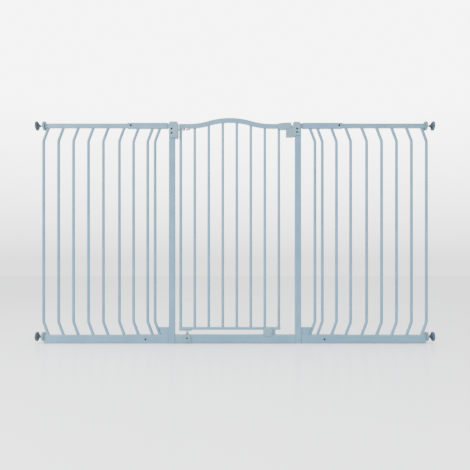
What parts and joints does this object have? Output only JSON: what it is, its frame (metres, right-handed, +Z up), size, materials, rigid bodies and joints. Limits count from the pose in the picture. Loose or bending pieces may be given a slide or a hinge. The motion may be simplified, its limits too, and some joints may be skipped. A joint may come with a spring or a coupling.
{
  "type": "pet gate",
  "caption": "Tall pressure-fitted pet gate: an arched, barred walk-through leaf with lift latch, between telescoping barred side wings with screw-out wall pads.",
  "frame": {"origin": "on the floor, midway between the wall pads and at the middle of the posts front to back", "axes": "+X along the gate from the hinge post to the latch post, +Y to the back (the side the leaf opens to), +Z up"},
  "size_m": [1.837, 0.044, 1.04],
  "materials": {
    "gate_paint": "satin pale blue-grey powder coat",
    "bracket_plastic": "fine-grained moulded blue-grey plastic",
    "nut_plastic": "moulded grey plastic",
    "pad_rubber": "soft dark slate rubber-faced plastic",
    "plug_plastic": "moulded blue-grey plastic",
    "zinc_steel": "zinc-plated steel",
    "spring_steel": "bright spring wire"
  },
  "bodies": {
    "frame": {"threshold_rail": "gate_paint", "hinge_post": "gate_paint", "latch_post": "gate_paint", "left_base_rail": "gate_paint", "right_base_rail": "gate_paint", "left_top_stub": "gate_paint", "right_top_stub": "gate_paint", "left_top_sleeve": "gate_paint", "right_top_sleeve": "gate_paint", "left_foot_gusset": "gate_paint", "right_foot_gusset": "gate_paint", "left_base_bars": "gate_paint", "right_base_bars": "gate_paint", "hinge_bracket": "bracket_plastic", "hinge_arm": "zinc_steel", "latch_receiver": "bracket_plastic", "pivot_seat": "bracket_plastic", "bottom_catch": "bracket_plastic", "fixing_screws": "zinc_steel", "rail_lock_screws": "zinc_steel"},
    "pivot": {"lower_pivot_pin": "zinc_steel"},
    "leaf": {"gate_top_rail": "gate_paint", "gate_bottom_rail": "gate_paint", "hinge_stile": "gate_paint", "gate_bar_1": "gate_paint", "gate_bar_2": "gate_paint", "gate_bar_3": "gate_paint", "gate_bar_4": "gate_paint", "gate_bar_5": "gate_paint", "gate_bar_6": "gate_paint", "closing_stile": "gate_paint", "upper_pivot_insert": "bracket_plastic", "lower_pivot_shoe": "bracket_plastic", "bottom_rail_caps": "bracket_plastic", "latch_housing": "bracket_plastic"},
    "latch": {"latch_bolt": "zinc_steel", "thumb_slide": "bracket_plastic", "latch_spring": "spring_steel"},
    "left_wing": {"left_wing_top_rail": "gate_paint", "left_wing_base_rail": "gate_paint", "left_wing_bars": "gate_paint", "left_top_plug": "plug_plastic", "left_base_plug": "plug_plastic"},
    "right_wing": {"right_wing_top_rail": "gate_paint", "right_wing_base_rail": "gate_paint", "right_wing_bars": "gate_paint", "right_top_plug": "plug_plastic", "right_base_plug": "plug_plastic"},
    "left_top_mount": {"left_top_spindle": "zinc_steel", "left_top_wall_pad": "pad_rubber"},
    "left_top_nut": {"left_top_hand_nut": "nut_plastic"},
    "left_base_mount": {"left_base_spindle": "zinc_steel", "left_base_wall_pad": "pad_rubber"},
    "left_base_nut": {"left_base_hand_nut": "nut_plastic"},
    "right_top_mount": {"right_top_spindle": "zinc_steel", "right_top_wall_pad": "pad_rubber"},
    "right_top_nut": {"right_top_hand_nut": "nut_plastic"},
    "right_base_mount": {"right_base_spindle": "zinc_steel", "right_base_wall_pad": "pad_rubber"},
    "right_base_nut": {"right_base_hand_nut": "nut_plastic"}
  },
  "joints": [
    {"name": "gate_lift", "type": "slide", "parent": "frame", "child": "pivot", "axis": [0, 0, 1], "range_m": [0, 0.008]},
    {"name": "gate_swing", "type": "hinge", "parent": "pivot", "child": "leaf", "pos_m": [-0.2206, 0, 0.058], "axis": [0, 0, 1], "range_deg": [0, 90]},
    {"name": "latch_slide", "type": "slide", "parent": "leaf", "child": "latch", "axis": [-1, 0, 0], "range_m": [0, 0.008], "stiffness_N_per_m": 400, "springref_m": -0.01, "deforming": ["latch_spring"]},
    {"name": "left_wing_slide", "type": "slide", "parent": "frame", "child": "left_wing", "axis": [-1, 0, 0], "range_m": [0, 0.06]},
    {"name": "right_wing_slide", "type": "slide", "parent": "frame", "child": "right_wing", "axis": [1, 0, 0], "range_m": [0, 0.06]},
    {"name": "left_top_nut_spin", "type": "hinge", "parent": "left_wing", "child": "left_top_nut", "pos_m": [-0.882, 0, 1.0045], "axis": [1, 0, 0], "range_deg": [-900, 3600]},
    {"name": "left_top_spindle_slide", "type": "slide", "parent": "left_wing", "child": "left_top_mount", "axis": [-1, 0, 0], "range_m": [-0.005, 0.02]},
    {"name": "left_base_nut_spin", "type": "hinge", "parent": "left_wing", "child": "left_base_nut", "pos_m": [-0.887, 0, 0.031], "axis": [1, 0, 0], "range_deg": [-900, 3600]},
    {"name": "left_base_spindle_slide", "type": "slide", "parent": "left_wing", "child": "left_base_mount", "axis": [-1, 0, 0], "range_m": [-0.005, 0.02]},
    {"name": "right_top_nut_spin", "type": "hinge", "parent": "right_wing", "child": "right_top_nut", "pos_m": [0.882, 0, 1.0045], "axis": [-1, 0, 0], "range_deg": [-900, 3600]},
    {"name": "right_top_spindle_slide", "type": "slide", "parent": "right_wing", "child": "right_top_mount", "axis": [1, 0, 0], "range_m": [-0.005, 0.02]},
    {"name": "right_base_nut_spin", "type": "hinge", "parent": "right_wing", "child": "right_base_nut", "pos_m": [0.887, 0, 0.031], "axis": [-1, 0, 0], "range_deg": [-900, 3600]},
    {"name": "right_base_spindle_slide", "type": "slide", "parent": "right_wing", "child": "right_base_mount", "axis": [1, 0, 0], "range_m": [-0.005, 0.02]}
  ],
  "couplings": [
    {"joint": "left_top_spindle_slide", "follows": "left_top_nut_spin", "m_per_rad": 0.00031831},
    {"joint": "left_base_spindle_slide", "follows": "left_base_nut_spin", "m_per_rad": 0.00031831},
    {"joint": "right_top_spindle_slide", "follows": "right_top_nut_spin", "m_per_rad": 0.00031831},
    {"joint": "right_base_spindle_slide", "follows": "right_base_nut_spin", "m_per_rad": 0.00031831}
  ]
}
